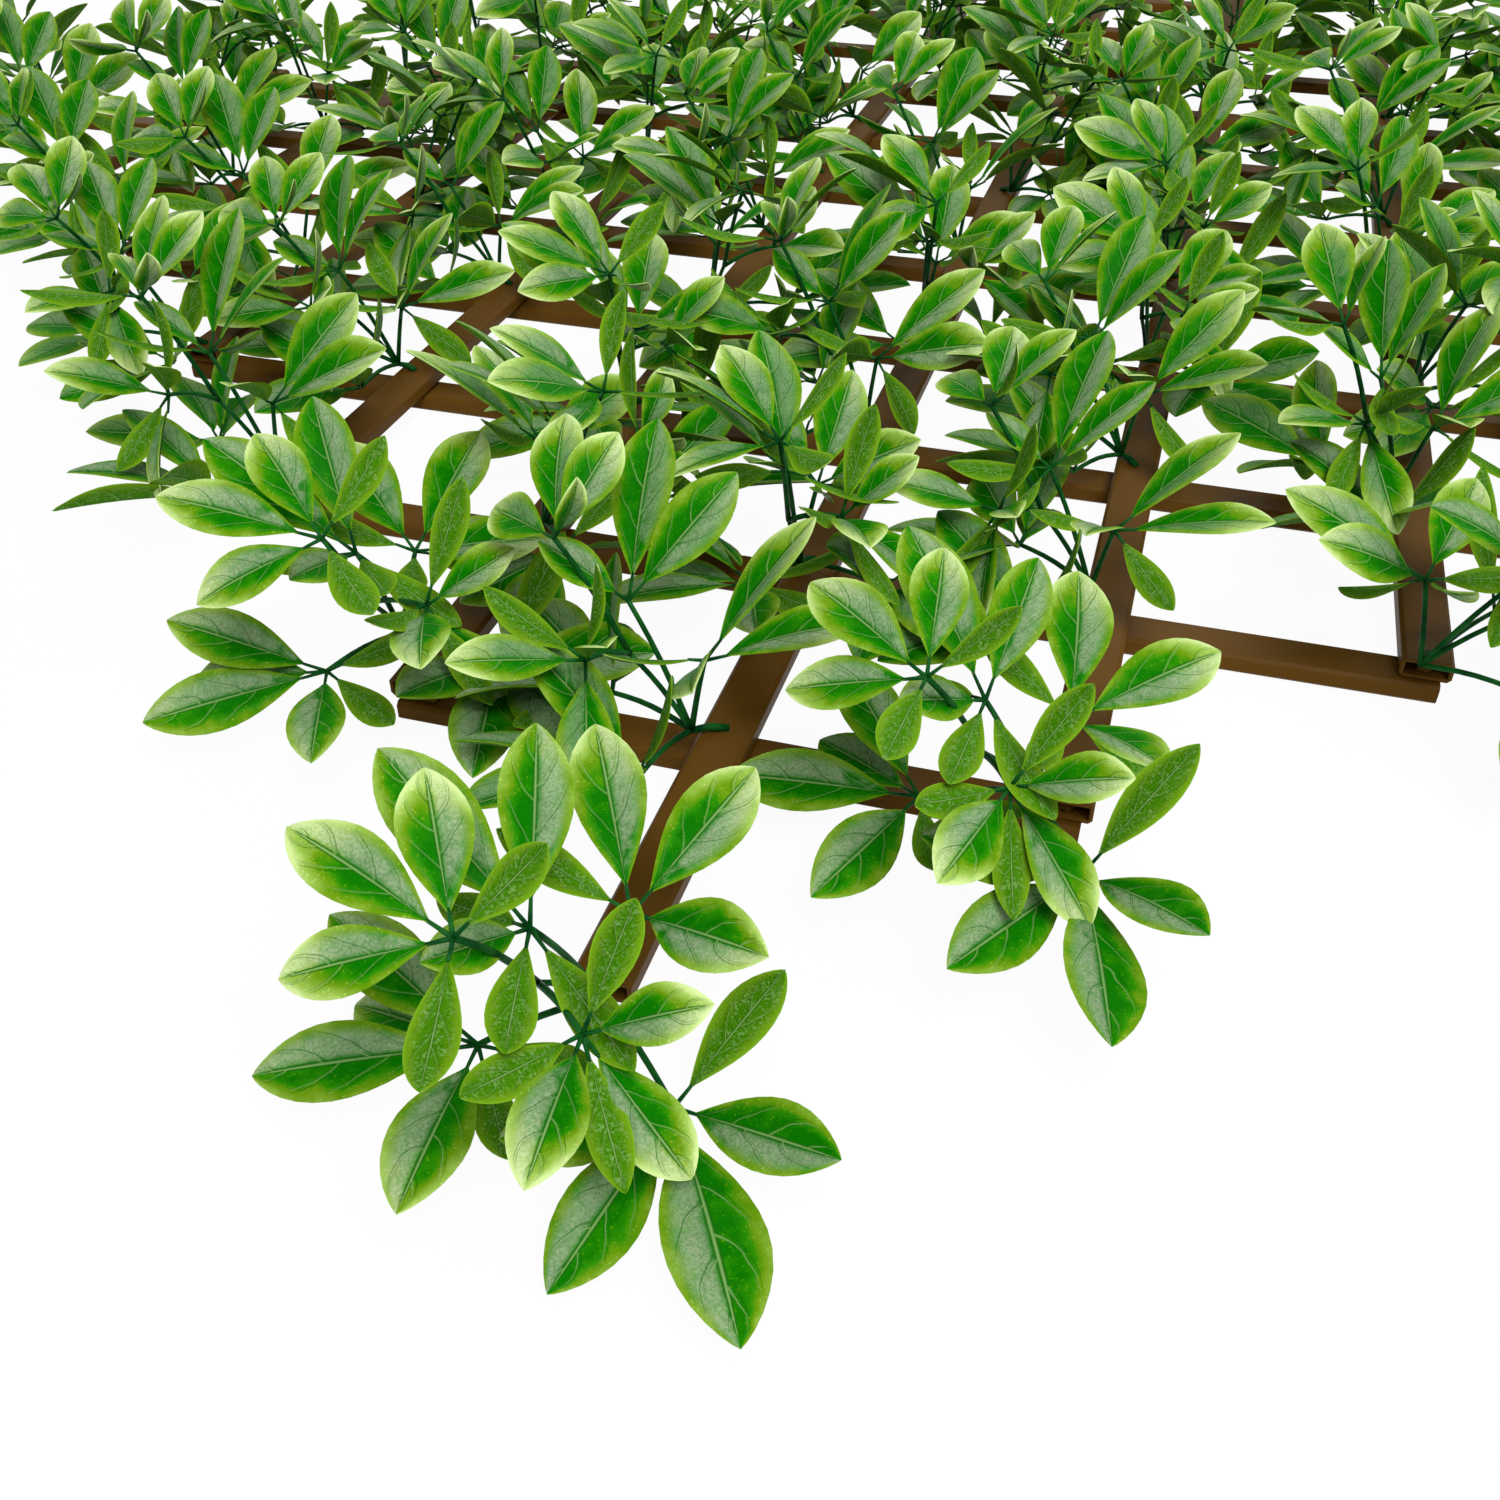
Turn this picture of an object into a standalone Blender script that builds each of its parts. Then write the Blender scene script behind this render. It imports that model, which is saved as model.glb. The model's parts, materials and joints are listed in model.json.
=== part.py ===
"""Expandable lattice trellis of hollow plastic slats with artificial leaf sprigs.

Two layers of parallel slats cross at right angles and are pinned together at every
crossing, so that the whole panel stretches and folds like scissors. A sprig of leaves
stands on every crossing and on the free slat ends at the panel's corners.

Frame: X is the panel's width, Y its height and +Z the side that carries the leaves.
The origin is the main pivot, on the back face of the lower slat.
A place in the panel is given as (a, b): a counts cells along X and b along Y. The
crossings lie at whole and at half numbers.
"""
import math

import bmesh
import bpy
from mathutils import Matrix, Vector

# Panel
CELLS_WIDE = 6
CELLS_TALL = 6
PITCH = 0.101
HALF_ANGLE = math.radians(45.0)

# Slats
SLAT_WIDTH = 0.016
SLAT_THICKNESS = 0.0068
SLAT_WALL = 0.0012
SLAT_CORNER = 0.0012
END_OVERHANG = 0.005
LAYER_GAP = 0.0003

# Snap pivots
PIVOT_SIDES = 5
SHANK_RADIUS = 0.0020
SHANK_CLEARANCE = 0.0003
HEAD_RADIUS = 0.0034
HEAD_HEIGHT = 0.0026
HEAD_CLEARANCE = 0.0003

# Sprigs
SEAT_GAP = 0.0003
STEM_SIDES = 3
STEM_RADIUS = 0.0013
FOOT_RADIUS = 0.0030
FOOT_HEIGHT = 0.0015
EDGE_LEAN = 0.036
HUB_SPREAD = 0.006
LOWER_HUB_HEIGHT = 0.032
UPPER_HUB_HEIGHT = 0.060
HUB_DEPTH = 0.0012
NOTCH_RADIUS = 0.0050
LEAF_LENGTH = 0.050
LEAF_WIDTH = 0.025
LEAF_WIDEST = 0.58
LEAF_FOLD = 0.0030
LINK_REACH = 0.052
EDGE_REACH = 0.034

# Leaves of a whorl: degrees round from the slat's direction, degrees of rise, and whether
# the leaf lies along the slat, where it has its own reach
LOWER_WHORL = ((20, -10, False), (100, -16, False), (183, 10, True), (268, -12, False))
UPPER_WHORL = ((4, -25, True), (75, 14, False), (145, 30, False), (215, 22, False), (290, 10, False))

BROWN = (0.080, 0.034, 0.014, 1.0)
GREEN = (0.035, 0.190, 0.012, 1.0)

SLAT_BASE_UPPER = SLAT_THICKNESS + LAYER_GAP
LATTICE_TOP = SLAT_BASE_UPPER + SLAT_THICKNESS
MAIN_CELL = min(CELLS_WIDE, CELLS_TALL) // 2
UPPER_ANGLE = math.pi / 2 - HALF_ANGLE
LOWER_ANGLE = HALF_ANGLE - math.pi / 2


def place(a, b, z=0.0):
    """World position of the panel place (a, b)."""
    x = (a - MAIN_CELL) * 2 * PITCH * math.sin(HALF_ANGLE)
    y = (b - MAIN_CELL) * 2 * PITCH * math.cos(HALF_ANGLE)
    return Vector((x, y, z))


def material(name, colour, roughness):
    """Principled plastic of one colour."""
    made = bpy.data.materials.new(name)
    made.use_nodes = True
    shader = made.node_tree.nodes["Principled BSDF"]
    shader.inputs["Base Color"].default_value = colour
    shader.inputs["Roughness"].default_value = roughness
    shader.inputs["Metallic"].default_value = 0.0
    made.diffuse_color = colour
    return made


def add_object(name, bm, collection, surface=None, matrix=None):
    """Turns a bmesh into an object of the collection."""
    bmesh.ops.recalc_face_normals(bm, faces=bm.faces)
    mesh = bpy.data.meshes.new(name)
    bm.to_mesh(mesh)
    bm.free()
    if surface is not None:
        mesh.materials.append(surface)
    made = bpy.data.objects.new(name, mesh)
    if matrix is not None:
        made.matrix_world = matrix
    collection.objects.link(made)
    return made


def add_cutter(name, bm, collection, matrix):
    """An object that only shapes others, drawn as a wire."""
    made = add_object(name, bm, collection, None, matrix)
    made.hide_render = True
    made.display_type = "WIRE"
    return made


def add_boolean(target, other, operation):
    """Cuts the other object out of the target, or joins it to the target."""
    step = target.modifiers.new(operation.lower() + "_" + other.name, "BOOLEAN")
    step.operation = operation
    step.solver = "EXACT"
    step.object = other


def block(bm, low, high):
    """Box between two corners."""
    size = Vector(high) - Vector(low)
    middle = (Vector(high) + Vector(low)) / 2
    matrix = Matrix.Translation(middle) @ Matrix.Diagonal((*size, 1.0))
    bmesh.ops.create_cube(bm, size=1.0, matrix=matrix)


def turned(bm, profile, x):
    """Solid turned about the vertical line at x along the slat, with PIVOT_SIDES sides."""
    verts = [bm.verts.new((x + radius, 0.0, z)) for radius, z in profile]
    edges = [bm.edges.new(pair) for pair in zip(verts, verts[1:])]
    bmesh.ops.spin(bm, geom=verts + edges, cent=(x, 0.0, 0.0), axis=(0.0, 0.0, 1.0),
                   angle=2 * math.pi, steps=PIVOT_SIDES, use_merge=True)


def slat_blank(start, end):
    """Solid bar with chamfered long edges, from start to end along X."""
    bm = bmesh.new()
    half = SLAT_WIDTH / 2
    block(bm, (start, -half, 0.0), (end, half, SLAT_THICKNESS))
    long_edges = [e for e in bm.edges if abs((e.verts[0].co - e.verts[1].co).x) > SLAT_WIDTH]
    bmesh.ops.bevel(bm, geom=long_edges, offset=SLAT_CORNER, segments=1, affect="EDGES")
    return bm


def slat_bore(start, end):
    """The bar's hollow, which runs out of both ends."""
    bm = bmesh.new()
    half = SLAT_WIDTH / 2 - SLAT_WALL
    block(bm, (start - SLAT_WALL, -half, SLAT_WALL),
          (end + SLAT_WALL, half, SLAT_THICKNESS - SLAT_WALL))
    return bm


def pivot_holes(offsets):
    """Holes through the bottom wall of an upper slat."""
    bm = bmesh.new()
    radius = (SHANK_RADIUS + SHANK_CLEARANCE) / math.cos(math.pi / PIVOT_SIDES)
    for x in offsets:
        middle = Matrix.Translation((x, 0.0, SLAT_WALL / 2))
        bmesh.ops.create_cone(bm, cap_ends=True, segments=PIVOT_SIDES, radius1=radius,
                              radius2=radius, depth=2 * SLAT_WALL, matrix=middle)
    return bm


def snap_studs(offsets):
    """Studs of a lower slat: a shank through the upper slat's wall and a barbed head."""
    bm = bmesh.new()
    root = SLAT_THICKNESS - SLAT_WALL / 2
    neck = SLAT_BASE_UPPER + SLAT_WALL + HEAD_CLEARANCE
    profile = ((0.0, root), (SHANK_RADIUS, root), (SHANK_RADIUS, neck),
               (HEAD_RADIUS, neck), (0.0, neck + HEAD_HEIGHT))
    for x in offsets:
        turned(bm, profile, x)
    bmesh.ops.remove_doubles(bm, verts=bm.verts, dist=1e-6)
    return bm


def add_slat(name, upper, start, end, offsets, pivot, surface, parts, cutters):
    """Hollow slat whose origin is its pivot, pinned at the offsets along it."""
    angle = UPPER_ANGLE if upper else LOWER_ANGLE
    base = SLAT_BASE_UPPER if upper else 0.0
    matrix = Matrix.Translation(pivot + Vector((0, 0, base))) @ Matrix.Rotation(angle, 4, "Z")
    slat = add_object(name, slat_blank(start, end), parts, surface, matrix)
    bore = add_cutter(name + "_bore", slat_bore(start, end), cutters, matrix)
    add_boolean(slat, bore, "DIFFERENCE")
    if upper:
        holes = add_cutter(name + "_holes", pivot_holes(offsets), cutters, matrix)
        add_boolean(slat, holes, "DIFFERENCE")
    else:
        studs = add_cutter(name + "_studs", snap_studs(offsets), cutters, matrix)
        add_boolean(slat, studs, "UNION")
    return slat


def stem_ring(bm, centre, radius):
    """One cross-section of the stem."""
    ring = []
    for i in range(STEM_SIDES):
        turn = 2 * math.pi * i / STEM_SIDES
        ring.append(bm.verts.new(centre + Vector((radius * math.cos(turn), radius * math.sin(turn), 0))))
    return ring


def whorl_outline(bm, hub, leaves, reach):
    """Sharp rim of a whorl: a notch, two shoulders and a tip for each leaf."""
    rim = []
    for i, (turn, climb, along_slat) in enumerate(leaves):
        azimuth = UPPER_ANGLE + math.radians(turn)
        rise = math.radians(climb)
        length = reach / math.cos(rise) if along_slat else LEAF_LENGTH
        last = leaves[i - 1][0] - (360 if i == 0 else 0)
        between = UPPER_ANGLE + math.radians((last + turn) / 2)
        rim.append(bm.verts.new(hub + NOTCH_RADIUS * Vector((math.cos(between), math.sin(between), 0))))
        outward = Vector((math.cos(azimuth), math.sin(azimuth), 0))
        across = Vector((-math.sin(azimuth), math.cos(azimuth), 0))
        along = outward * math.cos(rise) + Vector((0, 0, math.sin(rise)))
        lift = along.cross(across) * LEAF_FOLD
        widest = hub + along * LEAF_WIDEST * length + lift
        half = LEAF_WIDTH / 2 * length / LEAF_LENGTH
        rim.append(bm.verts.new(widest - across * half))
        rim.append(bm.verts.new(hub + along * length))
        rim.append(bm.verts.new(widest + across * half))
    return rim


def zip_rings(bm, ring, rim, hub):
    """Triangles between a stem ring and a whorl's rim, matched by their angle round the hub."""
    def turn(vert):
        return math.atan2(vert.co.y - hub.y, vert.co.x - hub.x) % (2 * math.pi)

    ring = sorted(ring, key=turn)
    start = min(range(len(rim)), key=lambda i: turn(rim[i]))
    rim = rim[start:] + rim[:start]
    i = j = 0
    while i < len(ring) or j < len(rim):
        next_ring = turn(ring[i]) if i < len(ring) else math.inf
        next_rim = turn(rim[j]) if j < len(rim) else math.inf
        if next_rim <= next_ring:
            bm.faces.new((ring[i - 1], rim[j - 1], rim[j]))
            j += 1
        else:
            bm.faces.new((ring[i - 1], rim[j - 1], ring[i]))
            i += 1


def sprig_shape(reach, lean):
    """One body: foot, bent stem, a lower whorl round the stem and an upper whorl on its end.

    The reach is that of the leaves along the slat, and the crown leans out from the foot.
    """
    bm = bmesh.new()
    spread = Vector((math.cos(UPPER_ANGLE), math.sin(UPPER_ANGLE), 0)) * HUB_SPREAD
    lower_hub = lean + Vector((0, 0, LOWER_HUB_HEIGHT)) - spread
    upper_hub = lean + Vector((0, 0, UPPER_HUB_HEIGHT)) + spread
    up = Vector((0, 0, HUB_DEPTH))
    foot = stem_ring(bm, Vector((0, 0, 0)), FOOT_RADIUS)
    ankle = stem_ring(bm, Vector((0, 0, FOOT_HEIGHT)), STEM_RADIUS)
    under = stem_ring(bm, lower_hub - up, STEM_RADIUS)
    over = stem_ring(bm, lower_hub + up, STEM_RADIUS)
    below = stem_ring(bm, upper_hub - up, STEM_RADIUS)
    lower_rim = whorl_outline(bm, lower_hub, LOWER_WHORL, reach)
    upper_rim = whorl_outline(bm, upper_hub, UPPER_WHORL, reach)
    bm.faces.new(foot)
    for first, second in ((foot, ankle), (ankle, under), (over, below)):
        for i in range(STEM_SIDES):
            j = (i + 1) % STEM_SIDES
            bm.faces.new((first[i], first[j], second[j], second[i]))
    zip_rings(bm, under, lower_rim, lower_hub)
    zip_rings(bm, over, lower_rim, lower_hub)
    zip_rings(bm, below, upper_rim, upper_hub)
    crown = bm.verts.new(upper_hub + up)
    for first, second in zip(upper_rim, upper_rim[1:] + upper_rim[:1]):
        bm.faces.new((crown, first, second))
    return bm


def edge_sprig(a, b, z, surface, parts):
    """Sprig on the panel's edge, whose crown leans out over it."""
    out_x = (a == CELLS_WIDE) - (a == 0)
    out_y = (b == CELLS_TALL) - (b == 0)
    lean = Vector((out_x, out_y, 0)).normalized() * EDGE_LEAN
    matrix = Matrix.Translation(place(a, b, z + SEAT_GAP))
    add_object(f"sprig_{a}_{b}", sprig_shape(EDGE_REACH, lean), parts, surface, matrix)


def main():
    for old in list(bpy.data.objects):
        bpy.data.objects.remove(old, do_unlink=True)
    parts = bpy.data.collections.new("expandable_leaf_trellis")
    cutters = bpy.data.collections.new("cutters")
    for group in (parts, cutters):
        bpy.context.scene.collection.children.link(group)
    plastic = material("brown_plastic", BROWN, 0.35)
    leaf = material("leaf_plastic", GREEN, 0.4)

    upper_range = range(1 - CELLS_WIDE, CELLS_TALL)
    lower_range = range(1, CELLS_WIDE + CELLS_TALL)
    main_lower = 2 * MAIN_CELL

    # An upper slat keeps b - a the same and a lower slat keeps a + b the same
    for number, c in enumerate(upper_range, 1):
        first = max(0, -c)
        last = min(CELLS_WIDE, CELLS_TALL - c)
        pivot = (main_lower - c) / 2
        stops = [first + i / 2 for i in range(2 * (last - first) + 1)]
        pins = [(a - pivot) * 2 * PITCH for a in stops if 2 * a + c in lower_range]
        ends = [(a - pivot) * 2 * PITCH for a in (first, last)]
        add_slat(f"upper_slat_{number:02d}", True, ends[0] - END_OVERHANG, ends[1] + END_OVERHANG,
                 pins, place(pivot, pivot + c), plastic, parts, cutters)
    for s in lower_range:
        first = max(0, s - CELLS_TALL)
        last = min(CELLS_WIDE, s)
        pivot = s / 2
        stops = [first + i / 2 for i in range(2 * (last - first) + 1)]
        pins = [(a - pivot) * 2 * PITCH for a in stops if round(s - 2 * a) in upper_range]
        ends = [(a - pivot) * 2 * PITCH for a in (first, last)]
        add_slat(f"lower_slat_{s:02d}", False, ends[0] - END_OVERHANG, ends[1] + END_OVERHANG,
                 pins, place(pivot, pivot), plastic, parts, cutters)

    # Sprigs inside the panel form one row on each upper slat, and those at its edge stand alone
    for number, c in enumerate(upper_range, 1):
        first = max(0, -c)
        last = min(CELLS_WIDE, CELLS_TALL - c)
        stops = [first + i / 2 for i in range(2 * (last - first) + 1)]
        row = None
        for a in stops[1:-1]:
            matrix = Matrix.Translation(place(a, a + c, LATTICE_TOP + SEAT_GAP))
            shape = sprig_shape(LINK_REACH, Vector((0, 0, 0)))
            if row is None:
                row = add_object(f"sprig_row_{number:02d}", shape, parts, leaf, matrix)
            else:
                name = f"sprig_row_{number:02d}_at_{round(2 * a):02d}"
                add_boolean(row, add_cutter(name, shape, cutters, matrix), "UNION")
        edge_sprig(first, first + c, LATTICE_TOP, leaf, parts)
        edge_sprig(last, last + c, LATTICE_TOP, leaf, parts)
    edge_sprig(CELLS_WIDE, 0, SLAT_THICKNESS, leaf, parts)
    edge_sprig(0, CELLS_TALL, SLAT_THICKNESS, leaf, parts)


main()
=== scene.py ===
"""Expandable lattice trellis with artificial leaf sprigs, lying on a pale floor."""
import json
import math
import random

import bpy
import numpy as np
from mathutils import Matrix, Vector


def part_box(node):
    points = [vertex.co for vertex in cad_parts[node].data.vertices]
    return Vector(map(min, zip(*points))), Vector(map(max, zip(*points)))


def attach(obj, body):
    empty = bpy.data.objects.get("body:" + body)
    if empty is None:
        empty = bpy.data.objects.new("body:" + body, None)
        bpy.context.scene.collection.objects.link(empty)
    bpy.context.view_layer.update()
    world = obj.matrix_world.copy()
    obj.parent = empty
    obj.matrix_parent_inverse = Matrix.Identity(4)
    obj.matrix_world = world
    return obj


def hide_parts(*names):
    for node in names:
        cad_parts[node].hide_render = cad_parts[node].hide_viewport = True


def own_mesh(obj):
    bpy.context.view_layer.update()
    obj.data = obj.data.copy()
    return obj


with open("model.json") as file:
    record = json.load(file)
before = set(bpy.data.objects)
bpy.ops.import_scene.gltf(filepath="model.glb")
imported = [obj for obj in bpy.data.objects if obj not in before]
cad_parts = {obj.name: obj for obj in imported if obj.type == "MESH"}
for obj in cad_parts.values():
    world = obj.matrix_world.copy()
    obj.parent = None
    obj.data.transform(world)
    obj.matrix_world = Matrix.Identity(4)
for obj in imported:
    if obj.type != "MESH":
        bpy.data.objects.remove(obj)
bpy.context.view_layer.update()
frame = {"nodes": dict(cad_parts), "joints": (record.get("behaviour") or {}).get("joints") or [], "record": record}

MM = 0.001
WHITE = (1, 1, 1, 1)

# The lattice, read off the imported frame
HINGES = {joint["child"]: joint for joint in frame["joints"]}
NODES = frame["nodes"]
BODY_OF = {node: body for body, group in frame["record"]["behaviour"]["bodies"].items()
           for node in group}
FLOOR_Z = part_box("lower_slat_06")[0][2]
UPPER_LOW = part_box("upper_slat_06")[0][2]
LATTICE_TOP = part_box("upper_slat_06")[1][2]
CROSSINGS = sorted(HINGES[body]["pos_m"][0] for body in HINGES if body.startswith("lower"))
CELL = (CROSSINGS[-1] - CROSSINGS[0]) / (len(CROSSINGS) - 1) * 2
CELLS = 6
PITCH = CELL / math.sqrt(2)


def place(a, b, z):
    """World point of the panel place (a, b), counted in cells from the near corner."""
    return Vector(((a - CELLS / 2) * CELL, (b - CELLS / 2) * CELL, z))


def add_object(name, data):
    """Object of its own in the scene."""
    made = bpy.data.objects.new(name, data)
    bpy.context.scene.collection.objects.link(made)
    return made


# Camera, placed from the near corner in steps between crossings
CAMERA_OFFSET = Vector((-0.948, -2.487, 2.814))
CAMERA_LOOK = Vector((0.3743, 0.6913, -0.618))
CAMERA_LENS = 36.84
CAMERA_SENSOR = 36.0
CAMERA_REACH = 20.0
camera_data = bpy.data.cameras.new("camera")
camera_data.lens = CAMERA_LENS
camera_data.sensor_width = CAMERA_SENSOR
camera_data.clip_end = CAMERA_REACH
camera = add_object("camera", camera_data)
camera.location = place(0, 0, UPPER_LOW) + CAMERA_OFFSET * PITCH
camera.rotation_euler = CAMERA_LOOK.to_track_quat("-Z", "Y").to_euler()
bpy.context.scene.camera = camera


# Materials
class Signal:
    """Output of a node; sums, differences and products of signals are nodes too."""

    def __init__(self, look, socket):
        self.look = look
        self.socket = socket

    def __add__(self, other):
        return self.look.math("ADD", self, other)

    def __sub__(self, other):
        return self.look.math("SUBTRACT", self, other)

    def __mul__(self, other):
        return self.look.math("MULTIPLY", self, other)


class Shading:
    """Short calls for the nodes of one material or world."""

    def __init__(self, owner, shader="Principled BSDF"):
        owner.use_nodes = True
        self.owner = owner
        self.nodes = owner.node_tree.nodes
        self.links = owner.node_tree.links
        self.shader = self.nodes[shader]
        self.where = None

    def put(self, value, socket):
        """Link a signal to a socket, or set a plain value on it."""
        if isinstance(value, Signal):
            self.links.new(value.socket, socket)
        else:
            socket.default_value = value

    def surface(self, name, value):
        """Feed one input of the shader."""
        self.put(value, self.shader.inputs[name])

    def math(self, operation, *values):
        made = self.nodes.new("ShaderNodeMath")
        made.operation = operation
        for value, socket in zip(values, made.inputs):
            self.put(value, socket)
        return Signal(self, made.outputs["Value"])

    def step(self, value, low, high, start=0.0, end=1.0):
        """Smooth step from start at low to end at high."""
        made = self.nodes.new("ShaderNodeMapRange")
        made.interpolation_type = "SMOOTHSTEP"
        for number, socket in zip((value, low, high, start, end), made.inputs):
            self.put(number, socket)
        return Signal(self, made.outputs["Result"])

    def fade(self, value, low, high):
        """Smooth step from 1 at low to 0 at high."""
        return self.step(value, low, high, 1.0, 0.0)

    def noise(self, scale, detail=2.0):
        if self.where is None:
            self.where = self.nodes.new("ShaderNodeTexCoord").outputs["Object"]
        made = self.nodes.new("ShaderNodeTexNoise")
        made.inputs["Scale"].default_value = scale
        made.inputs["Detail"].default_value = detail
        self.links.new(self.where, made.inputs["Vector"])
        return Signal(self, made.outputs["Fac"])

    def attribute(self, name):
        made = self.nodes.new("ShaderNodeAttribute")
        made.attribute_name = name
        return Signal(self, made.outputs["Fac"])

    def ramp(self, value, *stops):
        """Colour by value, from stops of a position and a colour."""
        made = self.nodes.new("ShaderNodeValToRGB")
        elements = made.color_ramp.elements
        elements.remove(elements[1])
        elements[0].position, elements[0].color = stops[0]
        for position, colour in stops[1:]:
            elements.new(position).color = colour
        self.put(value, made.inputs["Fac"])
        return Signal(self, made.outputs["Color"])

    def mix(self, share, first, second):
        """Colour between first and second."""
        made = self.nodes.new("ShaderNodeMix")
        made.data_type = "RGBA"
        for value, number in ((share, 0), (first, 6), (second, 7)):
            self.put(value, made.inputs[number])
        return Signal(self, made.outputs[2])

    def bump(self, height, strength, distance, normal=None):
        made = self.nodes.new("ShaderNodeBump")
        made.inputs["Strength"].default_value = strength
        made.inputs["Distance"].default_value = distance
        self.put(height, made.inputs["Height"])
        if normal is not None:
            self.links.new(normal, made.inputs["Normal"])
        self.surface("Normal", Signal(self, made.outputs["Normal"]))

    def seen(self):
        """1 for what the camera sees, straight or in a gloss or through a clear piece."""
        path = self.nodes.new("ShaderNodeLightPath")
        total = Signal(self, path.outputs["Is Camera Ray"])
        for name in ("Is Glossy Ray", "Is Transmission Ray"):
            total = self.math("MAXIMUM", total, Signal(self, path.outputs[name]))
        return total

    def show_white(self, share, white_node, output):
        """Mix a share of plain white into what leaves the shader."""
        white = self.nodes.new(white_node)
        white.inputs["Color"].default_value = WHITE
        white.inputs["Strength"].default_value = 1.0
        mixed = self.nodes.new("ShaderNodeMixShader")
        self.put(share, mixed.inputs["Fac"])
        self.links.new(self.shader.outputs[0], mixed.inputs[1])
        self.links.new(white.outputs[0], mixed.inputs[2])
        self.links.new(mixed.outputs["Shader"], self.nodes[output].inputs["Surface"])


# Brown slats: noise scales are per metre, here and below
BROWNS = ((0.3, (0.088, 0.038, 0.003, 1)), (0.7, (0.123, 0.056, 0.007, 1)))
BROWN_PATCHES = 14.0
BROWN_GRAIN = 900.0
BROWN_GRAIN_STRENGTH = 0.06
BROWN_GRAIN_DEPTH = 0.1 * MM
BROWN_ROUNDING = 0.8 * MM
BROWN_ROUGHNESS = 0.42
BROWN_SPECULAR = 0.05


def brown_plastic():
    """Moulded brown plastic with a fine grain and soft edges."""
    look = Shading(bpy.data.materials.new("brown_plastic"))
    look.surface("Base Color", look.ramp(look.noise(BROWN_PATCHES, 3.0), *BROWNS))
    bevel = look.nodes.new("ShaderNodeBevel")
    bevel.samples = 4
    bevel.inputs["Radius"].default_value = BROWN_ROUNDING
    look.bump(look.noise(BROWN_GRAIN), BROWN_GRAIN_STRENGTH, BROWN_GRAIN_DEPTH, bevel.outputs["Normal"])
    look.surface("Roughness", BROWN_ROUGHNESS)
    look.surface("Specular IOR Level", BROWN_SPECULAR)
    return look.owner


# Stems
STEM_GREENS = ((0.35, (0.000, 0.036, 0.006, 1)), (0.68, (0.008, 0.100, 0.012, 1)))
STEM_PATCHES = 140.0
STEM_GRAIN = 500.0
STEM_GRAIN_STRENGTH = 0.15
STEM_GRAIN_DEPTH = 0.1 * MM
STEM_ROUGHNESS = 0.40
STEM_SPECULAR = 0.05


def stem_plastic():
    """Dark green moulded stems with paler patches."""
    look = Shading(bpy.data.materials.new("stem_plastic"))
    look.surface("Base Color", look.ramp(look.noise(STEM_PATCHES), *STEM_GREENS))
    look.bump(look.noise(STEM_GRAIN), STEM_GRAIN_STRENGTH, STEM_GRAIN_DEPTH)
    look.surface("Roughness", STEM_ROUGHNESS)
    look.surface("Specular IOR Level", STEM_SPECULAR)
    return look.owner


# Leaf colours: the greens run from an old leaf's middle to a young leaf's tip, the sheen's
# from old to young
GREENS = ((0.00, (0.003, 0.140, 0.000, 1)), (0.16, (0.020, 0.205, 0.001, 1)),
          (0.34, (0.120, 0.255, 0.004, 1)), (0.64, (0.270, 0.435, 0.065, 1)),
          (1.00, (0.540, 0.690, 0.270, 1)))
SHEENS = ((0.0, (0.270, 0.350, 0.205, 1)), (0.7, (0.570, 0.700, 0.350, 1)))
# Painted shade: dark green for the line beside each vein on the top, standing in for the shadow of the raised vein
VEIN_SHADOW = (0.006, 0.110, 0.002, 1)
OLD_VEIN = (0.200, 0.370, 0.110, 1)
YOUNG_VEIN = (0.400, 0.620, 0.200, 1)
UNDER_MIDDLE = (0.050, 0.185, 0.002, 1)
UNDER_OLIVE = (0.125, 0.265, 0.006, 1)
# Painted highlight on the raised grain of the underside's embossed net
HIGHLIGHT_ON_NET = (0.210, 0.350, 0.110, 1)
# Painted shade in the pits of that net
UNDER_PIT_SHADE = (0.018, 0.115, 0.001, 1)
UNDER_RIM = (0.190, 0.390, 0.020, 1)
# Painted shade: dark green for the line beside each vein on the underside
UNDER_VEIN_SHADOW = (0.025, 0.110, 0.002, 1)
UNDER_VEIN = (0.240, 0.420, 0.120, 1)

# Leaf noises
WANDER_SCALE = 110.0
CLOUD_SCALE = 180.0
PATCH_SCALE = 420.0
SPECK_SCALE = 1500.0

# Side veins: how many, how far they sweep forward, how much they alternate and wander, and
# the shift from them of the dark line beside each, which is painted shade of the raised vein
SIDE_VEINS = 4.0
VEIN_SWEEP = 0.20
VEIN_STAGGER = 0.4
VEIN_WANDER = 0.5
VEIN_SHARE = 0.75
VEIN_SHADOW_ALONG = 0.020
VEIN_SHADOW_ASIDE = 0.05

# Steps over the leaf: where each begins and ends, as a share of its half width or length or
# as a value of the noise, and for some the values at both ends
VEIN_LINE = (0.008, 0.048)
VEIN_RIM_END = (0.62, 0.86)
VEIN_TIP_END = (0.90, 0.99)
RIB_LINE = (0.012, 0.055)
RIB_TIP_END = (0.93, 0.98)
OLIVE_RIM = (0.30, 1.0)
YOUNG_TIP = (0.46, 1.10)
YOUNG_RIM = (0.80, 1.0)
YOUNG_RIM_ALONG = (0.25, 0.85)
LIGHT_SPECKS = (0.60, 0.70, 0.0, 0.22)
SHEEN_HALF = (-0.26, 0.0)
SHEEN_RIM_END = (0.52, 0.94)
SHEEN_STALK_END = (0.02, 0.30)
SHEEN_SPECKS = (0.38, 0.58, 0.60, 1.0)
SHEEN_PATCHES = (0.36, 0.60, 0.75, 1.0)
UNDER_OLIVE_RIM = (0.30, 0.90)
NET_RIM_END = (0.50, 0.95)
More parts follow.
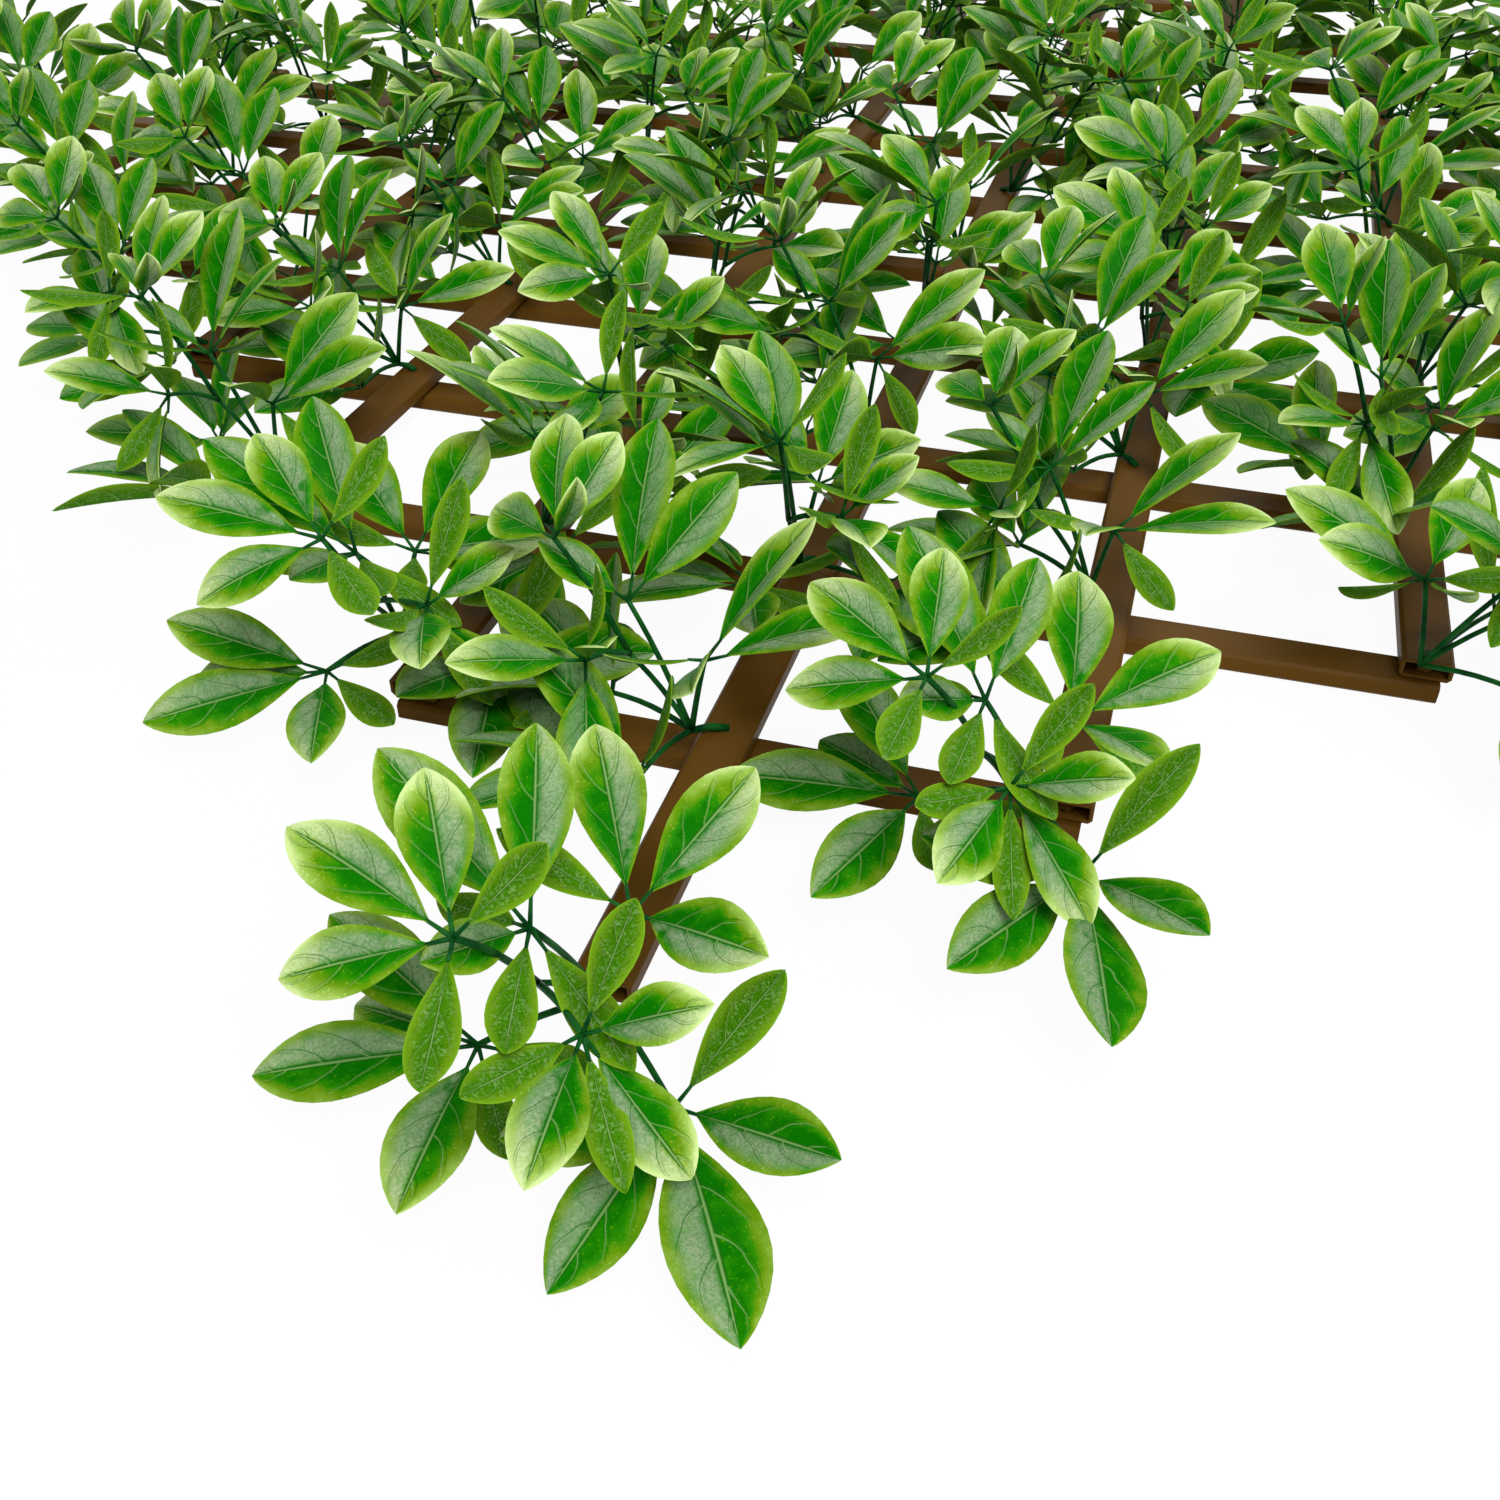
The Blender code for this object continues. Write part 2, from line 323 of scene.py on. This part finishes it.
# Where the painted highlight on the net's raised grain falls, then the painted shade in its pits
NET_SPECKS = (0.48, 0.62)
NET_PATCHES = (0.42, 0.58)
NET_PIT_SHADE = (0.34, 0.46, 0.55, 0.0)
UNDER_RIM_LINE = (0.86, 1.0, 0.0, 0.55)

# How much each of them counts
AGE_TIP = 0.86
AGE_RIM = 0.07
TIP_BOW = 0.06
TONE_RIM = 0.36
TONE_CLOUD = 0.55
SHEEN_RAGGED = 0.22
# Share of the painted shade line beside the veins on the top
TOP_VEIN_SHADOWS = 0.85
TOP_VEINS = 0.75
# Share of the painted highlight on the underside's net
NET_HIGHLIGHT_SHARE = 0.60
# Share of the painted shade line beside the veins on the underside
UNDER_VEIN_SHADOWS = 0.60
UNDER_VEINS = 0.65
TOP_ROUGHNESS = 0.36
UNDER_ROUGHNESS = 0.60
LEAF_SPECULAR = 0.015
RELIEF_STRENGTH = 0.80
RELIEF_DEPTH = 0.32 * MM
SMOOTH_GRAIN = 0.25
ROUGH_GRAIN = 0.7


class LeafShading(Shading):
    """Printed leaf: U runs from the stalk to the tip, V from 0 to 1 across it.

    Along runs from 0 at the stalk to 1 at the tip, side from 0 at the midrib to 1 at the rim.
    The attribute tint is how young the leaf is, and underside is 1 on its back.
    """

    def __init__(self, material):
        super().__init__(material)
        uv = self.nodes.new("ShaderNodeUVMap")
        uv.uv_map = "leaf"
        parts = self.nodes.new("ShaderNodeSeparateXYZ")
        self.links.new(uv.outputs["UV"], parts.inputs["Vector"])
        self.along = Signal(self, parts.outputs["X"])
        self.signed = (Signal(self, parts.outputs["Y"]) - 0.5) * 2.0
        self.side = self.math("ABSOLUTE", self.signed)
        self.half = self.math("GREATER_THAN", self.signed, 0.0)
        self.cloud = self.noise(CLOUD_SCALE, 3.0) - 0.5
        self.speck = self.noise(SPECK_SCALE, 3.0)
        self.patch = self.noise(PATCH_SCALE, 3.0)
        self.wander = self.noise(WANDER_SCALE, 1.0) - 0.5
        self.veins = self.vein_lines(self.along, self.side)
        # Painted shade: the vein lines shifted a little, to be drawn dark beside each vein as its shadow
        self.vein_shadows = self.vein_lines(self.along + VEIN_SHADOW_ALONG, self.side - VEIN_SHADOW_ASIDE)

    def vein_lines(self, along, side):
        """Midrib and curved side veins, which alternate between the two halves."""
        curve = side * VEIN_SWEEP + side * side * VEIN_SWEEP
        phase = (along - curve) * SIDE_VEINS + (self.half * VEIN_STAGGER + self.wander * VEIN_WANDER)
        wave = self.math("ABSOLUTE", self.math("FRACT", phase) - 0.5)
        line = self.fade(wave, *VEIN_LINE) * self.fade(side, *VEIN_RIM_END)
        line = line * self.fade(along, *VEIN_TIP_END)
        rib = self.fade(side, *RIB_LINE) * self.fade(along, *RIB_TIP_END)
        return self.math("MAXIMUM", line * VEIN_SHARE, rib)

    def age(self):
        """How young the leaf looks here: most towards its tip, a little at its rim."""
        edge = self.step(self.side, *YOUNG_RIM) * self.step(self.along, *YOUNG_RIM_ALONG)
        tip = self.step(self.along + self.side * TIP_BOW, *YOUNG_TIP)
        return self.attribute("tint") * (tip * AGE_TIP + edge * AGE_RIM)

    def sheen(self):
        """Share of the pale grey sheen that is printed along one half of the top."""
        ragged = self.signed + (self.patch - 0.5) * SHEEN_RAGGED
        sheen = self.fade(ragged, *SHEEN_HALF) * self.fade(self.side, *SHEEN_RIM_END)
        sheen = sheen * self.step(self.along + self.cloud, *SHEEN_STALK_END)
        sheen = sheen * self.step(self.speck, *SHEEN_SPECKS)
        sheen = sheen * self.step(self.patch, *SHEEN_PATCHES)
        return sheen * self.attribute("shine")

    def top(self, age, sheen):
        """Deep green, olive towards the rim, lime towards a young leaf's tip, with the sheen and painted shade
        beside the veins.
        """
        tone = self.step(self.side, *OLIVE_RIM) * TONE_RIM + age + self.cloud * TONE_CLOUD
        tone = tone + self.step(self.speck, *LIGHT_SPECKS)
        colour = self.mix(sheen, self.ramp(tone, *GREENS), self.ramp(age, *SHEENS))
        # Painted shade beside each vein
        colour = self.mix(self.vein_shadows * TOP_VEIN_SHADOWS, colour, VEIN_SHADOW)
        return self.mix(self.veins * TOP_VEINS, colour, self.mix(age, OLD_VEIN, YOUNG_VEIN))

    def underside(self):
        """Matte green, olive towards the rim, with a pale embossed net inside: painted highlight on its raised
        grain and painted shade in its pits.
        """
        inner = self.fade(self.side, *NET_RIM_END)
        # Painted highlight where the net's grain is raised
        pale = self.step(self.speck, *NET_SPECKS) * self.step(self.patch, *NET_PATCHES)
        colour = self.mix(self.step(self.side, *UNDER_OLIVE_RIM), UNDER_MIDDLE, UNDER_OLIVE)
        colour = self.mix(pale * inner * NET_HIGHLIGHT_SHARE, colour, HIGHLIGHT_ON_NET)
        # Painted shade in the net's pits
        colour = self.mix(inner * self.step(self.speck, *NET_PIT_SHADE), colour, UNDER_PIT_SHADE)
        colour = self.mix(self.step(self.side, *UNDER_RIM_LINE), colour, UNDER_RIM)
        # Painted shade beside each vein
        colour = self.mix(self.vein_shadows * UNDER_VEIN_SHADOWS, colour, UNDER_VEIN_SHADOW)
        return self.mix(self.veins * UNDER_VEINS, colour, UNDER_VEIN)


def leaf_plastic():
    """Smooth printed top and matte embossed underside."""
    look = LeafShading(bpy.data.materials.new("leaf_plastic"))
    back = look.attribute("underside")
    sheen = look.sheen()
    grain = look.speck * ((back + sheen) * ROUGH_GRAIN + SMOOTH_GRAIN)
    look.surface("Base Color", look.mix(back, look.top(look.age(), sheen), look.underside()))
    look.surface("Roughness", look.step(back, 0.0, 1.0, TOP_ROUGHNESS, UNDER_ROUGHNESS))
    look.surface("Specular IOR Level", LEAF_SPECULAR)
    look.bump(look.veins + grain, RELIEF_STRENGTH, RELIEF_DEPTH)
    return look.owner


brown_surface = brown_plastic()
leaf_surface = leaf_plastic()
stem_surface = stem_plastic()

# Slats keep their CAD solids
for name, node in NODES.items():
    if "slat" in name:
        node.data.materials.clear()
        node.data.materials.append(brown_surface)

# One sprig as the photograph shows it, in millimetres from the top of its crossing.
# Each branch: where it starts, the hub where it ends, how young its leaves are, and the
# leaves as degrees round from +X, degrees of rise, length, and 1 where the leaf is turned over
ROOT = Vector((-6, -11, 2))
FORK = Vector((-25, -22, 27))
LOW_HUB = Vector((-3, -43, -6))
BRANCHES = (
    (ROOT, LOW_HUB, 0.05, (
        (-64, 19, 48, 0), (-104, 1, 63, 0), (-146, -5, 53, 0), (-173, 26, 48, 0), (-12, 55, 46, 1))),
    (FORK, Vector((-25, -48, 36)), 0.85, (
        (-4, 68, 36, 1), (-37, 26, 31, 0), (-57, -52, 41, 0), (-129, 2, 40, 0), (-156, 20, 35, 1),
        (-95, -48, 34, 1))),
    (ROOT, Vector((-39, -16, 8)), 0.30, (
        (153, -10, 54, 0), (-131, 1, 47, 0), (120, 26, 46, 0), (119, -15, 42, 0), (-100, 5, 36, 1),
        (-62, 22, 38, 1))),
    (FORK, Vector((-45, -35, 62)), 0.90, (
        (121, 14, 43, 0), (77, 29, 37, 0), (-24, 49, 31, 1), (155, -15, 37, 0), (-118, 3, 40, 1))),
    (ROOT, Vector((-25, -21, 43)), 0.20, (
        (110, 28, 53, 0), (62, 37, 46, 0), (112, -18, 34, 1), (-119, 5, 38, 1), (-161, 21, 30, 0),
        (-80, -16, 40, 1))),
    (ROOT, Vector((2, -13, 28)), 0.70, (
        (75, 24, 51, 0), (25, 14, 50, 0), (-67, 16, 42, 0), (140, 34, 37, 1), (-129, 9, 32, 1),
        (-10, -32, 38, 1))),
)

# Where the leaves' top sides turn to
FACING = Vector((-0.15, -0.6, 1.0))
UP = Vector((0, 0, 1))

# The sprigs in front, from the photograph: degrees turned, how upright, and the millimetres
# along X and Y from the foot to the root. The measured one leans out of the near corner.
FRONT = {
    (0, 0): (0, 0.0, -6, -11),
    (1, 0): (-21, 0.0, -12, 3),
    (0, 1): (24, 0.0, 2, 21),
    (2, 0): (95, 0.0, -10, -5),
    (0.5, 0.5): (-60, 1.0, -11, 2),
}
MODEL_SPRIG = (0, 0)
MODEL_LEAN = -135

# The other sprigs: degrees turned to either side, how upright, and millimetres to the root
ROW_TURN = 105
EDGE_TURN = 40
UPRIGHT_RANGE = (0.3, 1.1)
ROOT_SHIFT = Vector((-8, 0, 0))

# How their leaves stray from the measured sprig: shares, and degrees
SIZE_SPREAD = 0.05
LENGTH_SPREAD = 0.06
RISE_SPREAD = 8
HEADING_SPREAD = 6
TINT_SPREAD = 0.15
LOW_HUB_SHIFT = Vector((0, -7, 12))

# What standing upright does to a sprig
UPRIGHT_NARROWER = 0.2
UPRIGHT_TALLER = 0.12
UPRIGHT_RISE = 12
UPRIGHT_FACE_UP = 0.6
UPRIGHT_BARE = 0.35
UPRIGHT_SHINE = (0.4, 1.0)
FRONT_SHINE = 0.85
ROLL_SPREAD = 0.2
UPRIGHT_ROLL = 0.55

# Heights between which the leaf tips stay
TOP_LIMIT = 0.106
LOW_LIMIT = 0.006
OVER_SLATS = 2.5 * MM

# Leaf blade: rows along it and columns across it, widths as shares of the length
BLADE_ROWS = (0.0, 0.05, 0.12, 0.20, 0.29, 0.38, 0.47, 0.56, 0.65, 0.74, 0.82, 0.89, 0.945, 0.98, 1.0)
LAST_ROW = len(BLADE_ROWS) - 1
COLUMNS = 6
TOP_ACROSS = 0.395
TURNED_ACROSS = 0.27
WIDTH_SPREAD = (0.93, 1.07)
SHORT_LEAF_WIDTH = 1.25
WIDTH_LOSS = 6.0
BASE_TAPER = 1.15
TIP_TAPER = 0.85
HALF_FOLD = 0.22
FOLD_SPREAD = (0.7, 1.3)
CUP_MIDDLE = 1.35
CUP_LOSS = 0.7
ARCH_RANGE = (0.05, 0.20)
RIM_WAVE = 0.035
WAVES_ALONG = 8.0
WAVES_ACROSS = 1.5
LEAF_SKIN = 0.5 * MM

# Stems and petioles
STEM_SIDES = 8
STEM_RADIUS = 0.95 * MM
PETIOLE_RADIUS = 0.6 * MM
PETIOLE_SHARE = 0.13
PETIOLE_INTO_BLADE = 1.3
PETIOLE_TAPER = 0.7
ROOT_STEM_FOOT = 1.5
ROOT_STEM_TOP = 1.1
BRANCH_TAPER = 0.8
BRANCH_BOW = 0.05
BRANCH_STEPS = 6

LEAF_SLOT = 0
STEM_SLOT = 1
WIDEST = BASE_TAPER / (BASE_TAPER + TIP_TAPER)
WIDEST_VALUE = WIDEST ** BASE_TAPER * (1 - WIDEST) ** TIP_TAPER


def leaf_outline(t):
    """Half width at t along the blade, as a share of the widest."""
    return t ** BASE_TAPER * (1 - t) ** TIP_TAPER / WIDEST_VALUE


class Foliage:
    """Collects leaves and stems, then makes one mesh of them."""

    def __init__(self):
        self.points = []
        self.faces = []
        self.uvs = []
        self.tints = []
        self.backs = []
        self.slots = []
        self.shines = []
        self.shine = 1.0

    def add_face(self, corners, uvs, tint=0.0, back=0, slot=LEAF_SLOT):
        self.faces.append(corners)
        self.uvs.extend(uvs)
        self.tints.extend([tint] * len(corners))
        self.backs.append(float(back))
        self.slots.append(slot)
        self.shines.append(self.shine)

    def leaf(self, hub, azimuth, rise, length, turned, tint, face, spread, noise):
        """Leaf on a round petiole; face is where its top side turns to, give or take the spread."""
        outward = Vector((math.cos(azimuth) * math.cos(rise), math.sin(azimuth) * math.cos(rise),
                          math.sin(rise)))
        sideways = face.cross(outward).normalized()
        axes = Matrix((outward, sideways, outward.cross(sideways))).transposed()
        roll = noise.uniform(-spread, spread) + (math.pi if turned else 0.0)
        tilt = axes @ Matrix.Rotation(roll, 3, "X")
        half = (TURNED_ACROSS if turned else TOP_ACROSS) * length / 2 * noise.uniform(*WIDTH_SPREAD)
        half *= SHORT_LEAF_WIDTH - WIDTH_LOSS * length
        fold = HALF_FOLD * noise.uniform(*FOLD_SPREAD) * (1 + spread)
        arch = length * noise.uniform(*ARCH_RANGE)
        petiole = PETIOLE_SHARE * length
        self.blade(lambda point: hub + tilt @ point, petiole, length, half, fold, arch, tint)
        reach = hub + tilt @ Vector((petiole * PETIOLE_INTO_BLADE, 0, 0))
        self.stem([hub, (hub + reach) / 2, reach], PETIOLE_RADIUS, PETIOLE_RADIUS * PETIOLE_TAPER)

    def blade(self, put, petiole, length, half, fold, arch, tint):
        """Folded and arched blade: a top and an under layer, a thin skin apart, closed at the rims."""
        start = len(self.points)
        across_count = COLUMNS + 1
        count = (LAST_ROW + 1) * across_count
        for layer in (1, -1):
            for i, t in enumerate(BLADE_ROWS):
                for j in range(across_count):
                    v = 2 * j / COLUMNS - 1
                    across = v * half * leaf_outline(t)
                    lift = fold * abs(across) * (CUP_MIDDLE - CUP_LOSS * abs(v)) + arch * (t - t * t)
                    wave = RIM_WAVE * half * math.sin(WAVES_ALONG * t + WAVES_ACROSS * v) * v * v
                    skin = layer * LEAF_SKIN / 2 if 0 < i < LAST_ROW and abs(v) < 1 else 0
                    point = Vector((petiole + (length - petiole) * t, across, lift + wave + skin))
                    self.points.append(put(point))
        for layer in (0, 1):
            for i in range(LAST_ROW):
                for j in range(COLUMNS):
                    cells = [(i, j), (i + 1, j), (i + 1, j + 1), (i, j + 1)]
                    if layer == 1:
                        cells.reverse()
                    quad = [start + layer * count + p * across_count + q for p, q in cells]
                    self.add_face(quad, [(BLADE_ROWS[p], q / COLUMNS) for p, q in cells], tint, layer)
        for j in (0, COLUMNS):
            for i in range(LAST_ROW):
                corner = start + i * across_count + j
                quad = [corner, corner + count, corner + across_count + count, corner + across_count]
                if j == COLUMNS:
                    quad.reverse()
                self.add_face(quad, [(BLADE_ROWS[i], j / COLUMNS)] * 4, tint)

    def stem(self, path, first_radius, last_radius):
        """Round rod along a path, with flat ends."""
        start = len(self.points)
        last = len(path) - 1
        for i, point in enumerate(path):
            radius = first_radius + (last_radius - first_radius) * i / last
            ahead = path[min(i + 1, last)] - path[max(i - 1, 0)]
            turn = ahead.to_track_quat("Z", "Y").to_matrix()
            for k in range(STEM_SIDES):
                angle = 2 * math.pi * k / STEM_SIDES
                rim = Vector((radius * math.cos(angle), radius * math.sin(angle), 0))
                self.points.append(point + turn @ rim)
        for i in range(last):
            for k in range(STEM_SIDES):
                a = start + i * STEM_SIDES + k
                b = start + i * STEM_SIDES + (k + 1) % STEM_SIDES
                self.add_face([a, b, b + STEM_SIDES, a + STEM_SIDES], [(0, 0.5)] * 4, slot=STEM_SLOT)
        for ring in (0, last):
            cap = [start + ring * STEM_SIDES + k for k in range(STEM_SIDES)]
            if ring == 0:
                cap.reverse()
            self.add_face(cap, [(0, 0.5)] * STEM_SIDES, slot=STEM_SLOT)

    def branch(self, first, last, put):
        """Stem between two points of a sprig, slightly bowed."""
        bow = (last - first).length * BRANCH_BOW
        path = []
        for i in range(BRANCH_STEPS + 1):
            t = i / BRANCH_STEPS
            path.append(put(first.lerp(last, t) + Vector((0, 0, bow * math.sin(math.pi * t)))))
        self.stem(path, STEM_RADIUS, STEM_RADIUS * BRANCH_TAPER)

    def sprig(self, foot, turn, shift, upright, loose, noise):
        """One sprig with its root a little off its foot, turned about the upright line through the root.

        Upright is 0 for a sprig that sprawls as the measured one does and 1 for one that stands.
        Loose is 0 for the measured sprig itself and 1 for those that stray from it.
        """
        spin = Matrix.Rotation(turn, 3, "Z")
        size = 1 + loose * noise.uniform(-SIZE_SPREAD, SIZE_SPREAD)
        narrow = 1 - UPRIGHT_NARROWER * upright
        stand = Matrix.Diagonal((narrow, narrow, 1 + UPRIGHT_TALLER * upright))
        face = spin @ FACING.lerp(UP, UPRIGHT_FACE_UP * upright) if upright else FACING

        def put(v):
            return foot + (shift + Vector((0, 0, ROOT.z)) + spin @ (stand @ (v - ROOT)) * size) * MM

        lowest = foot.z + OVER_SLATS if loose else LOW_LIMIT
        middle = foot + (shift * 0.5 + Vector((0, 0, ROOT.z))) * MM
        self.stem([foot, middle, put(ROOT)], STEM_RADIUS * ROOT_STEM_FOOT, STEM_RADIUS * ROOT_STEM_TOP)
        self.branch(ROOT, FORK, put)
        for start, end, young, leaves in BRANCHES:
            if end == LOW_HUB:
                end = end + LOW_HUB_SHIFT * loose
            hub = put(end)
            self.branch(start, end, put)
            for azimuth, rise, length, turned in leaves:
                if turned and noise.random() < UPRIGHT_BARE * upright:
                    continue
                self.shine = noise.uniform(*UPRIGHT_SHINE) if upright else FRONT_SHINE
                reach = length * MM * size * (1 + LENGTH_SPREAD * loose * noise.uniform(-1, 1))
                steep = math.radians(rise + UPRIGHT_RISE * upright
                                     + RISE_SPREAD * loose * noise.uniform(-1, 1))
                steep = min(steep, math.asin(min(1.0, (TOP_LIMIT - hub.z) / reach)))
                steep = max(steep, math.asin(max(-1.0, (lowest - hub.z) / reach)))
                heading = math.radians(azimuth + HEADING_SPREAD * loose * noise.uniform(-1, 1)) + turn
                tint = min(1.0, max(0.0, young + noise.uniform(-TINT_SPREAD, TINT_SPREAD)))
                self.leaf(hub, heading, steep, reach, turned, tint, face,
                          ROLL_SPREAD + UPRIGHT_ROLL * upright, noise)

    def build(self, name):
        mesh = bpy.data.meshes.new(name)
        mesh.from_pydata([tuple(p) for p in self.points], [], self.faces)
        layer = mesh.uv_layers.new(name="leaf")
        layer.data.foreach_set("uv", np.array(self.uvs, dtype=np.float32).ravel())
        for key, domain, values in (("tint", "CORNER", self.tints), ("underside", "FACE", self.backs),
                                    ("shine", "FACE", self.shines)):
            made = mesh.attributes.new(key, "FLOAT", domain)
            made.data.foreach_set("value", np.array(values, dtype=np.float32))
        mesh.materials.append(leaf_surface)
        mesh.materials.append(stem_surface)
        mesh.polygons.foreach_set("material_index", np.array(self.slots, dtype=np.int32))
        mesh.shade_smooth()
        mesh.update()
        return add_object(name, mesh)


def foot_z(body):
    """Top of a slat, where its sprigs stand."""
    return LATTICE_TOP if body.startswith("upper") else LATTICE_TOP - UPPER_LOW + FLOOR_Z


def edge_turn(a, b):
    """Degrees that turn an edge sprig to lean out of the panel."""
    sides = {0: -1, CELLS: 1}
    return math.degrees(math.atan2(sides.get(b, 0), sides.get(a, 0))) - MODEL_LEAN


def foliage(node, places):
    """Full leaves in place of a CAD sprig or row, on the body that carries it."""
    body = BODY_OF[node]
    bush = Foliage()
    for a, b in places:
        noise = random.Random(f"{2 * a:.0f},{2 * b:.0f}")
        if len(places) > 1:
            degrees = noise.uniform(-ROW_TURN, ROW_TURN)
        else:
            degrees = edge_turn(a, b) + noise.uniform(-EDGE_TURN, EDGE_TURN)
        upright = noise.uniform(*UPRIGHT_RANGE)
        shift = Matrix.Rotation(math.radians(degrees), 3, "Z") @ ROOT_SHIFT
        if (a, b) in FRONT:
            degrees, upright, *along = FRONT[a, b]
            shift = Vector((*along, 0))
        loose = 0.0 if (a, b) == MODEL_SPRIG else 1.0
        bush.sprig(place(a, b, foot_z(body)), math.radians(degrees), shift, upright, loose, noise)
    piece = bush.build(node.replace("sprig", "leaves"))
    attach(piece, body)
    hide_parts(node)
    place(*places[0], 0.0)
    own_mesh(piece)


# A row along each upper slat with a sprig of its own at both ends, then the lower slats' corners
for number, c in enumerate(range(1 - CELLS, CELLS), 1):
    first = max(0, -c)
    last = min(CELLS, CELLS - c)
    steps = [first + i / 2 for i in range(2 * (last - first) + 1)]
    foliage(f"sprig_row_{number:02d}", [(a, a + c) for a in steps[1:-1]])
    for a in (steps[0], steps[-1]):
        foliage(f"sprig_{round(a)}_{round(a + c)}", [(a, a + c)])
for a, b in ((CELLS, 0), (0, CELLS)):
    foliage(f"sprig_{a}_{b}", [(a, b)])

# Floor, which shows white and keeps the object's shadow
FLOOR_GREYS = ((0.3, (0.90, 0.90, 0.90, 1)), (0.7, (0.93, 0.93, 0.93, 1)))
FLOOR_PATCHES = 2.0
FLOOR_ROUGHNESS = 0.9
FLOOR_WHITE = 0.95
FLOOR_HALF = 6.0
FLOOR_GAP = 0.3 * MM
floor_look = Shading(bpy.data.materials.new("floor"))
floor_look.surface("Base Color", floor_look.ramp(floor_look.noise(FLOOR_PATCHES), *FLOOR_GREYS))
floor_look.surface("Roughness", FLOOR_ROUGHNESS)
floor_look.surface("Specular IOR Level", 0.0)
floor_look.show_white(floor_look.seen() * FLOOR_WHITE, "ShaderNodeEmission", "Material Output")
floor_mesh = bpy.data.meshes.new("floor")
corners = ((-FLOOR_HALF, -FLOOR_HALF), (FLOOR_HALF, -FLOOR_HALF), (FLOOR_HALF, FLOOR_HALF),
           (-FLOOR_HALF, FLOOR_HALF))
floor_mesh.from_pydata([(x, y, 0) for x, y in corners], [], [(0, 1, 2, 3)])
floor_mesh.materials.append(floor_look.owner)
floor = add_object("floor", floor_mesh)
floor.location.z = FLOOR_Z - FLOOR_GAP

# World, white to the camera and dimmer as a light
WORLD_LIGHT = 0.46
world = bpy.data.worlds.new("world")
bpy.context.scene.world = world
sky = Shading(world, "Background")
sky.surface("Color", WHITE)
sky.surface("Strength", WORLD_LIGHT)
sky.show_white(sky.seen(), "ShaderNodeBackground", "World Output")

# Lamps that face the middle of the panel: name, place, size in metres, watts
LAMPS = (
    ("key", Vector((-0.5, -1.6, 2.0)), 1.2, 54),
    ("fill", Vector((1.4, 1.2, 1.6)), 1.5, 14),
)
for name, location, size, power in LAMPS:
    lamp_data = bpy.data.lights.new(name, "AREA")
    lamp_data.shape = "SQUARE"
    lamp_data.size = size
    lamp_data.energy = power
    lamp = add_object(name, lamp_data)
    lamp.location = location
    lamp.rotation_euler = (-location).to_track_quat("-Z", "Y").to_euler()

bpy.context.scene.view_settings.view_transform = "Standard"
